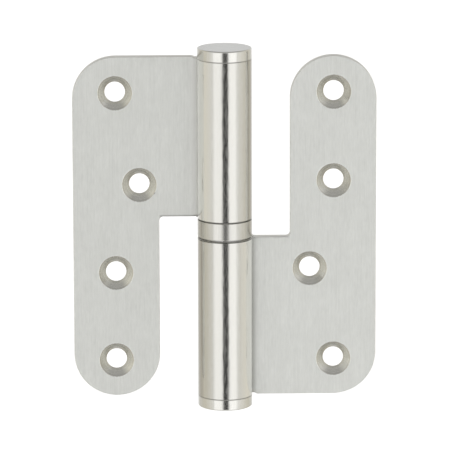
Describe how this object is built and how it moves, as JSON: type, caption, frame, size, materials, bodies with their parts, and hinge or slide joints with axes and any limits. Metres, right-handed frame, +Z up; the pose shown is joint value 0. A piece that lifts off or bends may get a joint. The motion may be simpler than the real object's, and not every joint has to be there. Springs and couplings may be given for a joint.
{
  "type": "lift-off hinge",
  "caption": "Lift-off door hinge with round-ended, notched flat leaves, rolled knuckles on a fixed pin, flush end caps and a ball thrust ring between the knuckles.",
  "frame": {"origin": "on the pin axis at mid height, which is the centre of the bounding box with the hinge open flat", "axes": "+Z up along the pin towards the lift-off leaf's knuckle, +X from the pin towards the frame leaf, -Y the way the countersunk faces look"},
  "size_m": [0.089, 0.016, 0.1072],
  "materials": {
    "leaf_steel": "satin stainless steel, fine vertical grain",
    "barrel_steel": "fine turned and polished stainless steel",
    "pin_steel": "ground stainless steel",
    "race_steel": "hardened and ground bearing steel",
    "cage_brass": "stamped brass",
    "ball_steel": "polished bearing steel"
  },
  "bodies": {
    "frame_side": {"frame_leaf": "leaf_steel", "hinge_pin": "pin_steel", "bottom_cap": "barrel_steel", "lower_race": "race_steel"},
    "bearing": {"bearing_cup": "barrel_steel"},
    "door_side": {"door_leaf": "leaf_steel", "top_cap": "barrel_steel"},
    "ball_set": {"ball_cage": "cage_brass", "bearing_ball_1": "ball_steel", "bearing_ball_2": "ball_steel", "bearing_ball_3": "ball_steel", "bearing_ball_4": "ball_steel", "bearing_ball_5": "ball_steel"}
  },
  "joints": [
    {"name": "swing", "type": "hinge", "parent": "frame_side", "child": "bearing", "pos_m": [0, 0, 0], "axis": [0, 0, 1], "range_deg": [-150, 180]},
    {"name": "lift_off", "type": "slide", "parent": "bearing", "child": "door_side", "axis": [0, 0, 1], "range_m": [0, 0.045]},
    {"name": "ball_roll", "type": "hinge", "parent": "frame_side", "child": "ball_set", "pos_m": [0, 0, 0], "axis": [0, 0, 1], "range_deg": [-75, 90]}
  ],
  "couplings": [
    {"joint": "ball_roll", "follows": "swing", "ratio": 0.5}
  ]
}
